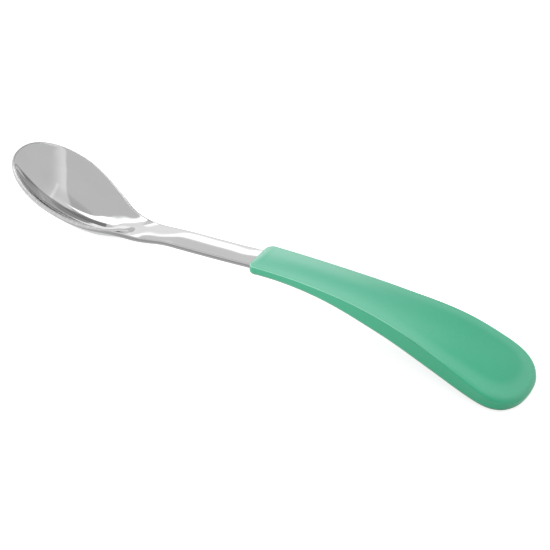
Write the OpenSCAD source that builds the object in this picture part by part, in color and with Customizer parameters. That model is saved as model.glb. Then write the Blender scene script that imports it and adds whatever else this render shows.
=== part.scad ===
// Baby spoon, lying on a table as it does in use.
// A pressed steel blank makes the bowl, the stem and a tang that hides in the handle.
// A soft grip is moulded over the tang and runs through its holes, so it can't slide off.
// X runs from the bowl's tip to the grip's tail, Y across, Z up from the table.
// The middle of the length is over the origin.

/* [Bowl] */
// Length of the bowl from its tip to the neck
bowl_length = 38.5; // [34:0.5:44]
// Width of the bowl over its rim
bowl_width = 24; // [20:0.5:28]
// Depth of the hollow below the rim
bowl_depth = 5.9; // [4.5:0.1:7]
// Thickness of the steel under the hollow
bowl_wall = 1.2; // [0.9:0.1:1.6]
// Width of the rounded rim
rim_width = 1.1; // [0.8:0.1:1.4]
// Height of the rim at the tip above the neck
tip_rise = 10; // [6:0.1:12]

/* [Stem] */
// Length of the bare stem from the neck to the grip
stem_length = 33; // [26:1:44]
// Width of the stem
stem_width = 8; // [6.6:0.2:8.6]
// Thickness of the stem at its middle
stem_thickness = 1.4; // [1.2:0.1:1.7]
// Height of the stem's domed top above its edges
stem_crown = 0.25; // [0.1:0.05:0.4]
// Climb of the stem from the neck to the grip
stem_rise = 5.2; // [3.5:0.1:7.5]

/* [Tang] */
// Length of the tang inside the grip
tang_length = 48; // [36:1:54]
// Width of the tang at its end
tang_width = 6.6; // [5.6:0.2:7.8]
// Depth of the tang's end below the grip's top edge
tang_cover = 2.4; // [1.8:0.1:3]
// Number of locking holes through the tang
hole_count = 3; // [2:1:4]
// Diameter of the locking holes
hole_diameter = 3.2; // [2.4:0.2:3.6]

/* [Grip] */
// Length of the grip
grip_length = 76.5; // [66:0.5:86]
// Width of the grip at its front
front_width = 11.1; // [10.5:0.1:14]
// Width of the paddle at its tail
tail_width = 22; // [18:0.2:26]
// Height of the side wall at the front
front_depth = 2.8; // [2.7:0.1:4]
// Height of the grip's top edge above the stem at the front
stem_cover = 0.9; // [0.6:0.1:1]
// Height of the top edge at the tail above the table
tail_height = 4; // [3.5:0.1:7]
// Height of the arched top edge above a straight line from front to tail
grip_arch = 4.8; // [3.5:0.1:6.5]
// Swell of the top face above its edges at the tail
top_crown = 1.2; // [0.5:0.1:2]
// Radius of the corners of the front end, seen from above
front_corner = 2.5; // [1.8:0.1:3.5]
// Length of the rounded end of the tail, seen from above
tail_round = 10; // [8:0.1:14]
// Radius of the top edge at the front
front_top_radius = 0.3; // [0.2:0.05:0.6]
// Radius of the top edge at the tail
tail_top_radius = 1.6; // [1:0.1:2.4]
// Radius of the bottom edge at the front
front_bottom_radius = 1.4; // [0.8:0.1:1.7]
// Radius of the bottom edge at the tail
tail_bottom_radius = 3.2; // [2:0.1:4]
// Belly of the underside below its edges at the front
front_belly = 0.6; // [0.3:0.1:1]
// Distance that the side wall leans in towards the table at the tail
wall_tuck = 0.7; // [0:0.1:1]

/* [Hidden] */

// Place of the bowl's widest point, as a share of its length from the tip
widest_share = 0.38;
// Fullness of the round ends, where 2 is an ellipse
bowl_fullness = 2.11;
tail_fullness = 2.2;
// Flatness of the stem's underside, on the same scale
stem_fullness = 7;
// Turn of the rim's rounding, from the outer edge over the top to the inner edge
bowl_rim_turn = 140;
stem_rim_turn = 90;
// Largest share of the side wall that its bottom rounding may take
wall_share = 0.98;
// Largest lean of the side wall's flat part, as a share of that part's height
lean_share = 0.3;
// Rim line of the bowl: share of the length from the tip, share of the tip's rise
rim_shares = [[0, 1], [0.35, 0.52], [0.7, 0.09], [1, 0]];
// Line of the stem: share of its length, share of its climb
climb_shares = [[0.25, 0.32], [0.6, 0.63], [1, 1]];
// Hollow along the bowl: share of the length, share of the depth
hollow_shares = [[0.2, 0.77], [0.3, 0.91], [0.42, 1], [0.55, 0.97],
                 [0.7, 0.79], [0.85, 0.45], [1, 0], [1.1, 0]];
// Outline behind the widest point: share of the way to the neck, share of the width that is left to lose
taper_shares = [[-0.25, 0.96], [0, 1], [0.25, 0.88], [0.5, 0.61], [0.75, 0.24],
                [0.9, 0.13], [1.05, 0.07], [1.25, 0], [1.5, 0]];
// Swell of the grip in plan: share of its length, share of the width gained
swell_shares = [[0, 0], [0.25, 0.05], [0.5, 0.34], [0.75, 0.88], [0.88, 1], [1, 1]];
// Arch of the grip's top edge: share of its length, share of the arch
arch_shares = [[0, 0], [0.25, 0.7], [0.5, 1], [0.75, 0.85], [1, 0]];
// Underside of the grip: share of its length, share of its height at the front
under_shares = [[0, 1], [0.25, 1.14], [0.5, 0.81], [0.7, 0.45], [0.9, 0.01], [1, -0.05]];
// Where the bowl's form passes into the stem's: shares of the bowl's length from the tip
wall_blend_shares = [0.6, 1.1];
rim_blend_shares = [0.7, 1.1];
underside_blend_shares = [0.75, 1.15];
crown_blend_shares = [0.9, 1.25];
// Where the grip's front form passes into the tail's: shares of its length from the front
bottom_blend_shares = [0.2, 0.9];
belly_blend_shares = [0.3, 0.8];
top_blend_shares = [0.55, 1];
// Swell of the top face at the front, as a share of the swell at the tail
front_crown_share = 0.4;

// Facets: sections along each stretch and steps across each surface
BOWL_FAN = 14;
BOWL_STEPS = 16;
NECK_STEPS = 8;
STEM_STEPS = 4;
TANG_STEPS = 8;
FRONT_STEPS = 2;
GRIP_STEPS = 28;
TAIL_FAN = 12;
EDGE_STEPS = 4;
FACE_STEPS = 8;
HOLE_FACETS = 48;
// Length by which cutting tools overrun the surfaces that they cut
overrun = 1;

// Places along X, measured from the bowl's tip
widest_x = widest_share * bowl_length;
front_x = bowl_length + stem_length;
tail_x = front_x + grip_length;
tang_end_x = front_x + tang_length;
pole_x = tail_x - tail_round;

// General curves
function mix(a, b, t) = a + (b - a) * t;
function ramp(ends, x) =
    let (t = max(0, min(1, (x - ends[0]) / (ends[1] - ends[0])))) t * t * (3 - 2 * t);
function rate(s, i) = (s[i + 1].y - s[i].y) / (s[i + 1].x - s[i].x);
// Slope of a smooth curve at its station i, from the parabola through the neighbours
function inner_slope(s, i) =
    let (a = s[i].x - s[i - 1].x, b = s[i + 1].x - s[i].x)
    (b * rate(s, i - 1) + a * rate(s, i)) / (a + b);
function slope(s, i) =
    i == 0 ? 2 * rate(s, 0) - inner_slope(s, 1)
    : i == len(s) - 1 ? 2 * rate(s, i - 1) - inner_slope(s, i - 1)
    : inner_slope(s, i);
function span(s, x, i = 0) = i >= len(s) - 2 || x < s[i + 1].x ? i : span(s, x, i + 1);
// Value at x of the smooth curve through stations [place, value], held level past its ends
function smooth(s, at) =
    let (
        x = max(s[0].x, min(s[len(s) - 1].x, at)),
        i = span(s, x), h = s[i + 1].x - s[i].x, t = (x - s[i].x) / h
    )
    s[i].y * (1 + 2 * t) * (1 - t) * (1 - t) + s[i + 1].y * t * t * (3 - 2 * t)
    + h * t * (1 - t) * (slope(s, i) * (1 - t) - slope(s, i + 1) * t);

// Lines of the steel, with heights above the top of the neck
rim_line = concat(
    [for (s = rim_shares) [s.x * bowl_length, s.y * tip_rise]],
    [for (s = climb_shares) [bowl_length + s.x * stem_length, s.y * stem_rise]]
);
function bowl_share(x) = x / bowl_length;
function wall_at(x) = mix(bowl_wall, stem_thickness, ramp(wall_blend_shares, bowl_share(x)));
function crown_at(x) = stem_crown * ramp(crown_blend_shares, bowl_share(x));
function outline_top(x) = x <= front_x ? smooth(rim_line, x) : tang_top(x);
function middle_top(x) =
    outline_top(x) + crown_at(x) - bowl_depth * smooth(hollow_shares, bowl_share(x));
function blank_half(x) =
    let (v = (x - widest_x) / (bowl_length - widest_x))
    x > front_x
        ? mix(stem_width, tang_width, (x - front_x) / tang_length) / 2
        : stem_width / 2 + (bowl_width - stem_width) / 2 * smooth(taper_shares, v);

// The bowl's lowest point rests on the table, which sets the height of the neck
lift = -min([for (i = [0 : BOWL_STEPS])
    let (x = mix(widest_x, bowl_length, i / BOWL_STEPS)) middle_top(x) - wall_at(x)]);

// Lines of the grip: its top edge, its underside and its half width
function grip_share(x) = (x - front_x) / grip_length;
front_top = lift + stem_rise + stem_cover;
function top_edge(x) =
    let (u = grip_share(x)) mix(front_top, tail_height, u) + grip_arch * smooth(arch_shares, u);
function underside(x) = (front_top - front_depth) * smooth(under_shares, grip_share(x));
function grip_half(x) = mix(front_width, tail_width, smooth(swell_shares, grip_share(x))) / 2;
function tang_top(x) =
    top_edge(x) - lift - mix(stem_cover, tang_cover, (x - front_x) / tang_length);

// A station is [x on the centre line, x on the outline, y on the outline]
function fan_station(pole, reach, half, full, a) =
    [pole, pole + reach * pow(abs(cos(a)), 2 / full), half * pow(sin(a), 2 / full)];
bowl_stations = concat(
    [for (i = [0 : BOWL_FAN - 1])
        fan_station(widest_x, -widest_x, blank_half(widest_x), bowl_fullness, 90 * i / BOWL_FAN)],
    [for (i = [0 : BOWL_STEPS - 1])
        let (x = mix(widest_x, bowl_length, i / BOWL_STEPS)) [x, x, blank_half(x)]]
);
neck_end_x = mix(widest_x, bowl_length, taper_shares[len(taper_shares) - 1].x);
stem_stations = concat(
    [for (i = [0 : NECK_STEPS - 1])
        let (x = mix(bowl_length, neck_end_x, i / NECK_STEPS)) [x, x, blank_half(x)]],
    [for (i = [0 : STEM_STEPS - 1])
        let (x = mix(neck_end_x, front_x, i / STEM_STEPS)) [x, x, blank_half(x)]]
);
tang_stations = [for (i = [0 : TANG_STEPS])
    let (x = mix(front_x, tang_end_x, i / TANG_STEPS)) [x, x, blank_half(x)]];

// Right half of a section of the blank, from the middle of its top over the rim to the middle below
function blank_section(s) =
    let (
        reach = norm([s[1] - s[0], s[2]]),
        way = [s[1] - s[0], s[2]] / reach,
        u = bowl_share(s[1]),
        r = rim_width / 2,
        rim = lift + outline_top(s[1]),
        first = mix(bowl_rim_turn, stem_rim_turn, ramp(rim_blend_shares, u)),
        q = mix(bowl_fullness, stem_fullness, ramp(underside_blend_shares, u)),
        middle = lift + middle_top(s[0]),
        below = middle - wall_at(s[0]),
        lean = s[0] > widest_x ? 0 : (middle_top(widest_x + r) - middle_top(widest_x)) / r,
        lip = reach - r + r * cos(first),
        lip_z = rim - r + r * sin(first),
        drop = lean * way.x
    )
    concat(
        [for (i = [0 : FACE_STEPS])
            let (k = sin(90 * i / FACE_STEPS), d = k * lip)
            [s[0] + way.x * d, way.y * d,
             middle + drop * d + (lip_z - middle - drop * lip) * pow(k, bowl_fullness)]],
        [for (i = [1 : EDGE_STEPS])
            let (a = first * (1 - i / EDGE_STEPS), d = reach - r + r * cos(a))
            [s[0] + way.x * d, way.y * d, rim - r + r * sin(a)]],
        [for (i = [1 : FACE_STEPS])
            let (k = cos(90 * i / FACE_STEPS), d = k * reach)
            [s[0] + way.x * d, way.y * d,
             below + drop * d + (rim - r - below - drop * reach) * pow(k, q)]]
    );

// Right half of a section of the grip, from the middle of its top down the side to the middle below
function grip_section(s) =
    let (
        reach = norm([s[1] - s[0], s[2]]),
        way = [s[1] - s[0], s[2]] / reach,
        u = grip_share(s[1]),
        side = top_edge(s[1]) - underside(s[1]),
        top_r = mix(front_top_radius, tail_top_radius, ramp(top_blend_shares, u)),
        wanted_r = mix(front_bottom_radius, tail_bottom_radius, ramp(bottom_blend_shares, u)),
        bottom_r = min(wanted_r, wall_share * (side - top_r)),
        flat_side = side - top_r - bottom_r,
        tuck = min(wall_tuck * ramp(bottom_blend_shares, u), lean_share * flat_side),
        crown = top_crown * mix(front_crown_share, 1, u),
        belly = front_belly * (1 - ramp(belly_blend_shares, u)),
        flat = reach - top_r,
        foot = reach - tuck - bottom_r
    )
    concat(
        [for (i = [0 : FACE_STEPS])
            let (k = i / FACE_STEPS, x = s[0] + way.x * k * flat)
            [x, way.y * k * flat, top_edge(x) + crown * (1 - k * k)]],
        [for (i = [1 : EDGE_STEPS])
            let (a = 90 * (1 - i / EDGE_STEPS), d = flat + top_r * cos(a))
            [s[0] + way.x * d, way.y * d, top_edge(s[0] + way.x * d) - top_r * (1 - sin(a))]],
        [for (i = [0 : EDGE_STEPS])
            let (a = 90 * i / EDGE_STEPS, d = foot + bottom_r * cos(a))
            [s[0] + way.x * d, way.y * d, underside(s[0] + way.x * d) + bottom_r * (1 - sin(a))]],
        [for (i = [1 : EDGE_STEPS])
            let (k = 1 - i / EDGE_STEPS, x = s[0] + way.x * k * foot)
            [x, way.y * k * foot, underside(x) - belly * (1 - k * k)]]
    );

grip_stations = concat(
    [for (i = [0 : FRONT_STEPS])
        [front_x + front_corner, front_x, (front_width / 2 - front_corner) * i / FRONT_STEPS]],
    [for (i = [1 : EDGE_STEPS])
        let (a = 90 * i / EDGE_STEPS)
        [front_x + front_corner, front_x + front_corner * (1 - cos(a)),
         front_width / 2 - front_corner * (1 - sin(a))]],
    [for (i = [1 : GRIP_STEPS])
        let (x = mix(front_x + front_corner, pole_x, i / GRIP_STEPS)) [x, x, grip_half(x)]],
    [for (i = [1 : TAIL_FAN])
        fan_station(pole_x, tail_round, grip_half(pole_x), tail_fullness, 90 * (1 - i / TAIL_FAN))]
);

// Skins half sections and their mirror images into one closed solid.
// The first head sections and the last tail sections each fan out from one pole. A fan's end
// section lies in the mirror plane. A solid with no fan at an end is capped there.
module skin(sections, head, tail) {
    n = len(sections);
    m = len(sections[0]);
    ring = 2 * m - 2;
    points = [for (s = sections, j = [0 : ring - 1])
        let (p = j < m ? s[j] : s[ring - j]) [p.x, j < m ? p.y : -p.y, p.z]];
    function folded(i, j) = (i == 0 && head > 0 || i == n - 1 && tail > 0) && j >= m ? ring - j : j;
    function poled(i) = i < head ? head : i > n - 1 - tail ? n - 1 - tail : i;
    function id(i, j) =
        let (k = folded(i, j % ring)) (k == 0 || k == m - 1 ? poled(i) : i) * ring + k;
    triangles = [for (i = [0 : n - 2], j = [0 : ring - 1])
        let (a = id(i, j), b = id(i, j + 1), c = id(i + 1, j + 1), d = id(i + 1, j))
        each [[a, b, c], [a, c, d]]];
    caps = concat(
        head > 0 ? [] : [[for (j = [0 : ring - 1]) id(0, ring - 1 - j)]],
        tail > 0 ? [] : [[for (j = [0 : ring - 1]) id(n - 1, j)]]
    );
    polyhedron(
        points,
        concat([for (t = triangles) if (t[0] != t[1] && t[1] != t[2] && t[2] != t[0]) t], caps)
    );
}

// Places the model over the origin
module centred() {
    translate([-tail_x / 2, 0, 0]) children();
}

// Cutters for the locking holes, evenly spaced along the tang
module locking_holes() {
    for (i = [1 : hole_count])
        translate([front_x + tang_length * i / (hole_count + 1), 0, -overrun])
            cylinder(d = hole_diameter, h = front_top + grip_arch + 2 * overrun, $fn = HOLE_FACETS);
}

// The bowl, the stem and the tang in one piece of sheet, with its locking holes
module steel_blank() {
    stations = concat(bowl_stations, stem_stations, tang_stations);
    color("silver") centred() difference() {
        skin([for (s = stations) blank_section(s)], BOWL_FAN, 0);
        locking_holes();
    }
}

// The soft grip, with the tang's shape left free inside it and a flat land to rest on
module silicone_grip() {
    inside = concat([stem_stations[len(stem_stations) - 1]], tang_stations);
    color("mediumaquamarine") centred() difference() {
        skin([for (s = grip_stations) grip_section(s)], FRONT_STEPS + EDGE_STEPS, TAIL_FAN);
        difference() {
            skin([for (s = inside) blank_section(s)], 0, 0);
            locking_holes();
        }
        translate([front_x, -tail_width, -tail_width])
            cube([grip_length + overrun, 2 * tail_width, tail_width]);
    }
}

steel_blank();
silicone_grip();
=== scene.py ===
# %% [markdown]
# # A baby spoon: a pressed steel bowl and stem with a soft grip
#
# This lesson dresses a spoon that was built to size in a CAD model. The CAD model is the frame: it
# says where everything is, and nothing here moves or resizes it. Two pieces are modelled again as
# smooth meshes, because a mirror finish shows every facet: the polished steel and the soft grip.
# Everything is in metres, with X from the bowl's tip to the grip's tail and Z up from the table.

# %% Load the frame
import math

import bmesh
import bpy
import numpy as np
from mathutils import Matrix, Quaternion, Vector


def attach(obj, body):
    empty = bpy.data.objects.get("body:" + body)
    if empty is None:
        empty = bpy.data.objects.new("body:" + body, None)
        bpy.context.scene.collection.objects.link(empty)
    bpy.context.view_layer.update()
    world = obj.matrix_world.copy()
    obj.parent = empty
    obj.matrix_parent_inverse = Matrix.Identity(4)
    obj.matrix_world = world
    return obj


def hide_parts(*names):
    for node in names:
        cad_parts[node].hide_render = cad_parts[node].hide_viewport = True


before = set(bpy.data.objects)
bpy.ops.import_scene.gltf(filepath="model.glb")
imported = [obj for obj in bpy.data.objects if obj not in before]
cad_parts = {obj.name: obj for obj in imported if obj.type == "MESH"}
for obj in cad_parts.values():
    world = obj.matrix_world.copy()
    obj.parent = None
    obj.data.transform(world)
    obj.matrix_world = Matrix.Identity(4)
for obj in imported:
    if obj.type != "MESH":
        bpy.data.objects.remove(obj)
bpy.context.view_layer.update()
scene = bpy.context.scene

# %% [markdown]
# ## The sizes
#
# The spoon's sizes are the ones that its CAD model uses, so the smooth meshes fit the solids. Only
# the end of the bowl's hollow, the inner half of its rim, the neck, the tail's oval and the grip's
# front corners follow the photograph a little closer, by less than a millimetre.
#
# A line along the spoon, such as the height of the rim, is a smooth curve through a few stations.
# Each station is a place and a value, both written as shares of a size, as a designer would draw
# it with a flexible ruler.

# %% The sizes
MM = 0.001
# The steel: its bowl and rim, its stem, and its tang inside the grip
BOWL_LENGTH, BOWL_WIDTH, BOWL_DEPTH, BOWL_WALL = 38.5 * MM, 24 * MM, 5.9 * MM, 1.2 * MM
RIM_RADIUS, TIP_RISE, LAND_SLOPE = 0.55 * MM, 10 * MM, 0.6
STEM_LENGTH, STEM_WIDTH, STEM_THICKNESS = 33 * MM, 8 * MM, 1.4 * MM
STEM_CROWN, STEM_RISE = 0.25 * MM, 5.2 * MM
TANG_LENGTH, TANG_WIDTH, TANG_COVER = 48 * MM, 6.6 * MM, 2.4 * MM
# The grip
GRIP_LENGTH, FRONT_WIDTH, TAIL_WIDTH = 76.5 * MM, 11.1 * MM, 22 * MM
FRONT_DEPTH, STEM_COVER, TAIL_HEIGHT = 2.8 * MM, 0.9 * MM, 4 * MM
GRIP_ARCH, TOP_CROWN, FRONT_BELLY, WALL_TUCK = 4.8 * MM, 1.2 * MM, 0.6 * MM, 0.7 * MM
FRONT_CROWN_SHARE = 0.4
FRONT_CORNER, TAIL_ROUND = 1.9 * MM, 10 * MM
TOP_RADII, BOTTOM_RADII = (0.3 * MM, 1.6 * MM), (1.4 * MM, 3.2 * MM)

# How square a section or an outline is: 2 is an ellipse, and more is squarer
BOWL_FULLNESS, NECK_FULLNESS, STEM_FULLNESS = 2.11, 2.0, 7
TAIL_FULLNESS, FRONT_FULLNESS = 2.4, 4
# How far the rounding of the steel's edge goes on, in degrees, at the bowl and at the stem
RIM_TURNS = 140, 90

# Places along the spoon, from the bowl's tip
WIDEST_X = 0.38 * BOWL_LENGTH
FRONT_X = BOWL_LENGTH + STEM_LENGTH
TANG_X = FRONT_X + TANG_LENGTH
LENGTH = FRONT_X + GRIP_LENGTH
TAIL_POLE_X = LENGTH - TAIL_ROUND
FRONT_POLE_X = FRONT_X + FRONT_CORNER
print(f"Spoon {LENGTH / MM:.1f} mm long, bare steel {FRONT_X / MM:.1f} mm")

# %% Curves along the spoon
# Stations along the bowl, up the stem, from the bowl's widest point to its end, and along the grip
RIM_SHARES = [(0, 1), (0.35, 0.52), (0.7, 0.09), (1, 0)]
CLIMB_SHARES = [(0.25, 0.32), (0.6, 0.63), (1, 1)]
HOLLOW_SHARES = [(0.2, 0.77), (0.3, 0.91), (0.42, 1), (0.55, 0.97), (0.65, 0.87), (0.75, 0.7),
                 (0.85, 0.37), (0.93, 0.12), (1, 0.01), (1.1, 0)]
TAPER_SHARES = [(-0.25, 0.96), (0, 1), (0.25, 0.88), (0.5, 0.61), (0.75, 0.24), (0.9, 0.13),
                (1.05, 0.07), (1.25, 0), (1.5, 0)]
SWELL_SHARES = [(0, 0), (0.25, 0.05), (0.5, 0.34), (0.75, 0.88), (0.88, 1), (1, 1)]
ARCH_SHARES = [(0, 0), (0.25, 0.7), (0.5, 1), (0.75, 0.85), (1, 0)]
UNDER_SHARES = [(0, 1), (0.25, 1.14), (0.5, 0.81), (0.7, 0.45), (0.9, 0.01), (1, -0.05)]

# Where a change starts and ends: as shares of the bowl's length, then of the grip's
WALL_CHANGE, CROWN_CHANGE, RIM_CHANGE = (0.6, 1.1), (0.9, 1.25), (0.7, 1.1)
HOLLOW_CHANGE, UNDER_CHANGE = (0.55, 1), (0.75, 1.15)
LIP_FADE, CUT_CHANGE = (0.85, 1.2), (0.35, 1.2)
TOP_EDGE_CHANGE, BOTTOM_EDGE_CHANGE, BELLY_FADE = (0.55, 1), (0.2, 0.9), (0.3, 0.8)


def mix(a, b, share):
    return a + (b - a) * share


def ramp(start, end, x):
    """Rises smoothly from 0 at start to 1 at end."""
    t = max(0.0, min(1.0, (x - start) / (end - start)))
    return t * t * (3 - 2 * t)


def curve(stations, at):
    """The smooth curve through the stations (place, value), held level past its ends."""
    xs, ys = zip(*stations)
    at = max(xs[0], min(xs[-1], at))
    steps = [b - a for a, b in zip(xs, xs[1:])]
    rates = [(b - a) / h for a, b, h in zip(ys, ys[1:], steps)]
    inner = [(h1 * r0 + h0 * r1) / (h0 + h1)
             for h0, h1, r0, r1 in zip(steps, steps[1:], rates, rates[1:])]
    slopes = [2 * rates[0] - inner[0], *inner, 2 * rates[-1] - inner[-1]]
    i = max(k for k in range(len(steps)) if k == 0 or at >= xs[k])
    t = (at - xs[i]) / steps[i]
    return (ys[i] * (1 + 2 * t) * (1 - t) ** 2 + ys[i + 1] * t * t * (3 - 2 * t)
            + steps[i] * t * (1 - t) * (slopes[i] * (1 - t) - slopes[i + 1] * t))


# %% [markdown]
# The spoon stands on its bowl's lowest point and on its tail. So the steel's heights are first
# measured from the neck, and then lifted until the bowl just touches the table.

# %% Heights and widths along the spoon
RIM_LINE = ([(s * BOWL_LENGTH, v * TIP_RISE) for s, v in RIM_SHARES]
            + [(BOWL_LENGTH + s * STEM_LENGTH, v * STEM_RISE) for s, v in CLIMB_SHARES])


def bowl_share(x):
    return x / BOWL_LENGTH


def grip_share(x):
    return (x - FRONT_X) / GRIP_LENGTH


def tang_share(x):
    return (x - FRONT_X) / TANG_LENGTH


def steel_edge_height(x):
    """Height of the steel's rim or edge above the neck, before the spoon is set on the table."""
    if x <= FRONT_X:
        return curve(RIM_LINE, x)
    return top_edge(x) - lift - mix(STEM_COVER, TANG_COVER, tang_share(x))


def steel_middle(x):
    """Height of the steel's top along the middle."""
    share = bowl_share(x)
    return (steel_edge_height(x) + STEM_CROWN * ramp(*CROWN_CHANGE, share)
            - BOWL_DEPTH * curve(HOLLOW_SHARES, share))


def steel_wall(x):
    return mix(BOWL_WALL, STEM_THICKNESS, ramp(*WALL_CHANGE, bowl_share(x)))


def steel_half(x):
    """Half the width of the steel behind the bowl's widest point."""
    if x > FRONT_X:
        return mix(STEM_WIDTH, TANG_WIDTH, tang_share(x)) / 2
    taper = curve(TAPER_SHARES, (x - WIDEST_X) / (BOWL_LENGTH - WIDEST_X))
    return (STEM_WIDTH + (BOWL_WIDTH - STEM_WIDTH) * taper) / 2


def top_edge(x):
    share = grip_share(x)
    return mix(front_top, TAIL_HEIGHT, share) + GRIP_ARCH * curve(ARCH_SHARES, share)


def underside(x):
    return (front_top - FRONT_DEPTH) * curve(UNDER_SHARES, grip_share(x))


def grip_half(x):
    return mix(FRONT_WIDTH, TAIL_WIDTH, curve(SWELL_SHARES, grip_share(x))) / 2


def in_frame(point, height):
    """A place in the frame, where X is 0 at the spoon's middle and not at the bowl's tip."""
    return Vector((point.x - LENGTH / 2, point.y, height))


# The bowl's lowest point rests on the table, and that sets every other height
PLACES_TRIED = 17
lift = -min(steel_middle(x) - steel_wall(x)
            for x in np.linspace(WIDEST_X, BOWL_LENGTH, PLACES_TRIED))
front_top = lift + STEM_RISE + STEM_COVER
print(f"Neck {lift / MM:.2f} mm and grip's front {front_top / MM:.2f} mm above the table")

# %% [markdown]
# ## How a smooth shell is modelled
#
# Both pieces are made in the way that a sheet is pressed. A flat grid is the sheet. Its vertices
# are moved to the top face of the piece, its outer edge is extruded ring by ring round the rim,
# and a copy of the sheet closes the shell from below. Only the far half is modelled, and a mirror
# makes the near one. The rows of the grid bend round the spoon's ends, because rows that follow
# the outline leave no pinched point in the middle of a mirror finish.
#
# Each vertex remembers its row, column and ring in an integer layer, which extrude and duplicate
# copy, so code can find it again however the mesh is numbered.

# %% Helpers for the sheet
LAYERS = ("row", "column", "ring")
WELD = 0.001 * MM


def start_sheet(name, rows, columns, low_x, high_x, half_width, height):
    """Adds the far half of a flat sheet at its size and place, and opens it in edit mode."""
    bpy.ops.object.select_all(action="DESELECT")
    bpy.ops.mesh.primitive_grid_add(
        x_subdivisions=rows, y_subdivisions=columns, size=1,
        location=((low_x + high_x) / 2, half_width / 2, height))
    bpy.ops.transform.resize(value=(high_x - low_x, half_width, 1))
    piece = bpy.context.object
    piece.name = piece.data.name = name
    bpy.ops.object.transform_apply(location=True, rotation=True, scale=True)
    bpy.ops.object.mode_set(mode="EDIT")
    mesh = bmesh.from_edit_mesh(piece.data)
    for layer in LAYERS:
        mesh.verts.layers.int.new(layer)
    row, column = (mesh.verts.layers.int[layer] for layer in LAYERS[:2])
    for v in mesh.verts:
        v[row] = round((v.co.x - low_x) / (high_x - low_x) * rows)
        v[column] = round(v.co.y / half_width * columns)
    bmesh.update_edit_mesh(piece.data)
    return piece


def put_selected(piece, ring, place):
    """Moves each selected vertex to place(row, column), one translation at a time."""
    mesh = bmesh.from_edit_mesh(piece.data)
    rows, columns, rings = (mesh.verts.layers.int[layer] for layer in LAYERS)
    chosen = [v for v in mesh.verts if v.select]
    for v in chosen:
        v[rings] = ring
        bpy.ops.mesh.select_all(action="DESELECT")
        v.select = True
        bpy.ops.transform.translate(value=place(v[rows], v[columns]) - v.co)
    return len(chosen)


# %% [markdown]
# The rim grows out of the sheet's outer edge, one ring at a time. Extruding keeps the rings joined
# to the sheet, where a separate rim would have to be fitted to it. The copy of the sheet that
# closes the shell is welded to the last ring.

# %% Helpers that grow the sheet into a shell
def select_ring_edge(piece, ring, rows, columns):
    """Selects the outer edge of the last ring. The middle line stays open for the mirror."""
    mesh = bmesh.from_edit_mesh(piece.data)
    row, column, rings = (mesh.verts.layers.int[layer] for layer in LAYERS)
    bpy.ops.mesh.select_mode(type="EDGE")
    bpy.ops.mesh.select_all(action="DESELECT")
    for e in mesh.edges:
        e.select = e.is_boundary and all(
            v[rings] == ring and (v[row] in (0, rows) or v[column] == columns) for v in e.verts)
    bmesh.update_edit_mesh(piece.data)


def close_below(piece, place):
    """Copies the top sheet, moves the copy to the underside and welds it to the last ring."""
    bpy.ops.mesh.select_mode(type="FACE")
    bpy.ops.mesh.select_all(action="DESELECT")
    mesh = bmesh.from_edit_mesh(piece.data)
    rings = mesh.verts.layers.int["ring"]
    for face in mesh.faces:
        face.select = all(v[rings] == 0 for v in face.verts)
    bmesh.update_edit_mesh(piece.data)
    bpy.ops.mesh.duplicate()
    bpy.ops.mesh.select_mode(type="VERT")
    put_selected(piece, -1, place)
    bpy.ops.mesh.select_all(action="SELECT")
    bpy.ops.mesh.remove_doubles(threshold=WELD)
    bpy.ops.mesh.normals_make_consistent(inside=False)
    bpy.ops.object.mode_set(mode="OBJECT")


def mirror_half(piece):
    bpy.ops.object.modifier_add(type="MIRROR")
    mirror = piece.modifiers[-1]
    mirror.use_axis = (False, True, False)
    mirror.merge_threshold = WELD
    bpy.ops.object.modifier_apply(modifier=mirror.name)


def shell(name, rows, columns, sheet, rings, below, start):
    """A closed shell: a top sheet, the rings round its rim and its underside, then mirrored."""
    piece = start_sheet(name, rows, columns, *start)
    bpy.ops.mesh.select_all(action="SELECT")
    put_selected(piece, 0, sheet)
    for number, place in enumerate(rings, 1):
        select_ring_edge(piece, number - 1, rows, columns)
        bpy.ops.mesh.extrude_edges_move()
        bpy.ops.mesh.select_mode(type="VERT")
        put_selected(piece, number, place)
    close_below(piece, below)
    mirror_half(piece)
    print(name, "cage:", len(piece.data.vertices), "vertices")
    return piece


# %% [markdown]
# Subdivision pulls a surface inwards from its cage, most of all at a tight bend such as the rim.
# The cage's vertices lie where the real surface should be, so the cage is pushed out by what the
# smooth surface lost, a few times over, until the surface goes through those places. Only where
# the edge bends tightest does it still miss them, by less than a tenth of a millimetre.

# %% Fit the smooth surface to the cage's places
def smooth_through(piece, levels, rounds=8):
    """Subdivides the piece, with its cage pushed out so that the surface meets its places."""
    bpy.ops.object.modifier_add(type="SUBSURF")
    smooth = piece.modifiers[-1]
    smooth.levels = smooth.render_levels = 1
    mesh = piece.data
    count = len(mesh.vertices)
    wanted = np.empty(3 * count)
    mesh.vertices.foreach_get("co", wanted)
    cage = wanted.copy()
    for _ in range(rounds):
        surface = piece.evaluated_get(bpy.context.evaluated_depsgraph_get()).data
        reached = np.empty(3 * len(surface.vertices))
        surface.vertices.foreach_get("co", reached)
        cage += wanted - reached[:3 * count]
        mesh.vertices.foreach_set("co", cage)
        mesh.update()
    smooth.levels = smooth.render_levels = levels
    bpy.ops.object.modifier_apply(modifier=smooth.name)
    for layer in LAYERS:
        mesh.attributes.remove(mesh.attributes[layer])
    bpy.ops.object.shade_smooth()
    miss = abs(wanted - reached[:3 * count]).max()
    print(f"{piece.name}: {len(piece.data.polygons)} faces, off by {miss / MM:.4f} mm at most")


# %% [markdown]
# ## The outlines seen from above
#
# The bowl's tip and the grip's tail are full ovals, a little squarer than an ellipse. The grip's
# front is straight with rounded corners. Each outline gives a point and the direction straight
# out of it, which the rings of the rim use. Inside an end, the grid is filled in between the four
# sides of that end, as a cloth pulled evenly to its frame.

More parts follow.
